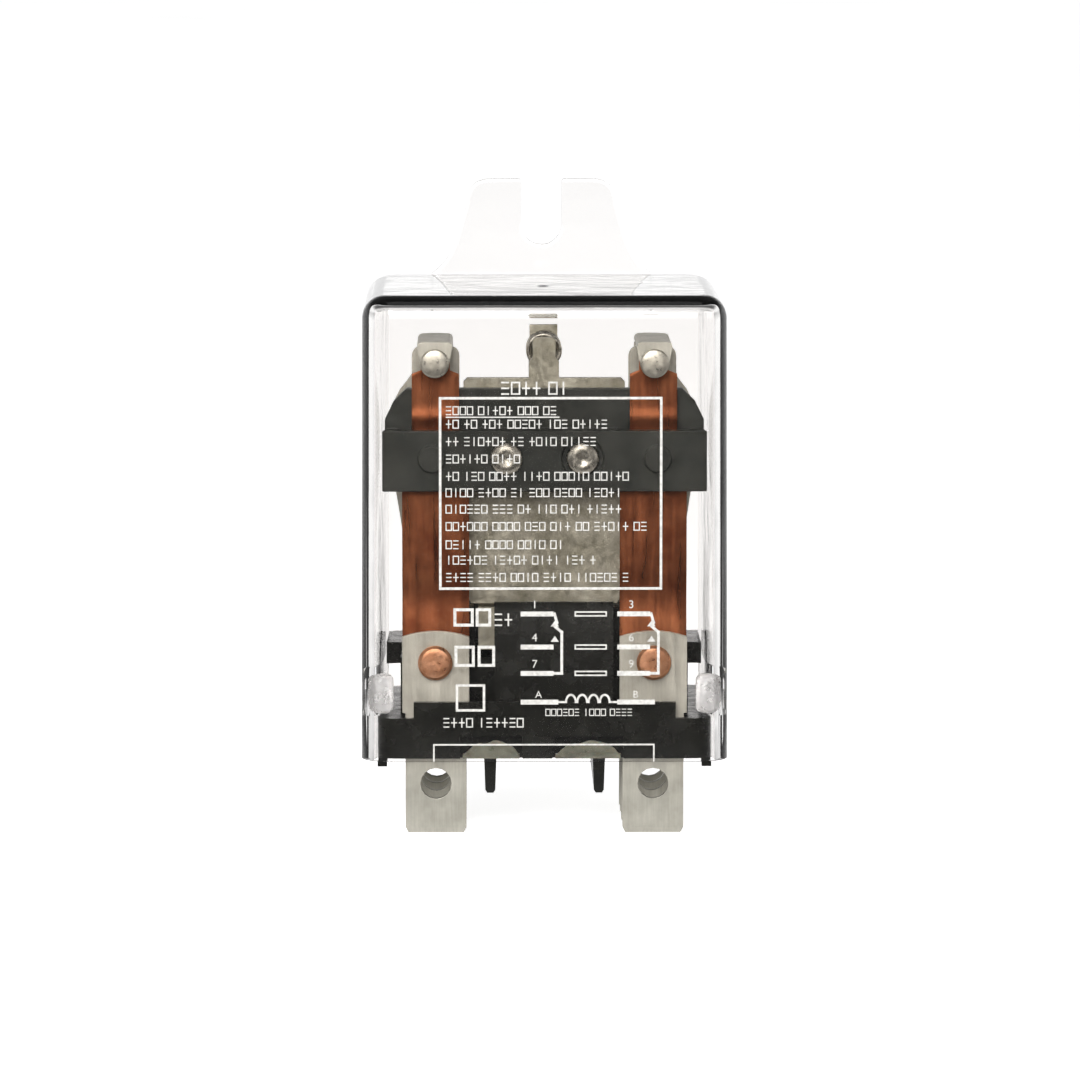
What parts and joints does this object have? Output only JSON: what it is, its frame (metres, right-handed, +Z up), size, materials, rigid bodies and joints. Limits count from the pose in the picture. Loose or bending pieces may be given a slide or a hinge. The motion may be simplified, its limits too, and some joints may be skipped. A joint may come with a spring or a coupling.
{
  "type": "plug-in power relay",
  "caption": "Ice-cube power relay with a clear snap-fit cover, slotted back flange, quick-connect blades below and a hinged armature that carries copper leaf contacts.",
  "frame": {"origin": "on the mounting plane, which is the flat back of the flange and cover, on the centre line and level with the top of the cover", "axes": "+X to the right seen from the front, +Y out of the back into the surface it is screwed to, +Z up, away from the blades"},
  "size_m": [0.0382, 0.0358, 0.0665],
  "materials": {
    "clear_cover": "clear moulded polycarbonate, polished",
    "black_base": "black moulded phenolic, satin",
    "black_carrier": "black moulded nylon, satin",
    "steel": "zinc-plated soft iron, dull",
    "plated_terminal": "tin-plated brass, satin",
    "copper_alloy": "bare copper alloy, rolled",
    "contact_silver": "silver alloy, satin",
    "bright_steel": "bright steel",
    "bobbin_plastic": "natural nylon, satin",
    "enamelled_wire": "red-brown enamel over copper",
    "coil_wrap": "amber polyester tape",
    "sealant": "olive-grey epoxy"
  },
  "bodies": {
    "relay_body": {"cover": "clear_cover", "base": "black_base", "yoke": "steel", "core": "steel", "spring_bracket": "steel", "bracket_rivet": "steel", "common_terminal_left": "plated_terminal", "common_terminal_right": "plated_terminal", "no_terminal_left": "plated_terminal", "no_terminal_right": "plated_terminal", "nc_terminal_left": "plated_terminal", "nc_terminal_right": "plated_terminal", "coil_terminal_left": "plated_terminal", "coil_terminal_right": "plated_terminal", "blade_rivet_left": "copper_alloy", "blade_rivet_right": "copper_alloy", "shading_ring": "copper_alloy", "no_contact_left": "contact_silver", "no_contact_right": "contact_silver", "nc_contact_left": "contact_silver", "nc_contact_right": "contact_silver", "frame_screw_left": "bright_steel", "frame_screw_right": "bright_steel", "bobbin": "bobbin_plastic", "coil_winding": "enamelled_wire", "coil_lead_left": "enamelled_wire", "coil_lead_right": "enamelled_wire", "coil_tape": "coil_wrap", "base_sealant_left": "sealant", "base_sealant_right": "sealant"},
    "armature_assembly": {"armature": "steel", "carrier": "black_carrier", "return_spring": "bright_steel", "moving_blade_left": "copper_alloy", "moving_blade_right": "copper_alloy", "moving_contact_left": "contact_silver", "moving_contact_right": "contact_silver", "armature_rivet_left": "bright_steel", "armature_rivet_right": "bright_steel"}
  },
  "joints": [
    {"name": "armature_hinge", "type": "hinge", "parent": "relay_body", "child": "armature_assembly", "pos_m": [0, -0.0275, -0.0324], "axis": [-1, 0, 0], "range_deg": [0, 3.5], "stiffness_Nm_per_rad": 0.05, "springref_deg": -17.19, "deforming": ["moving_blade_left", "moving_blade_right", "return_spring"]}
  ]
}
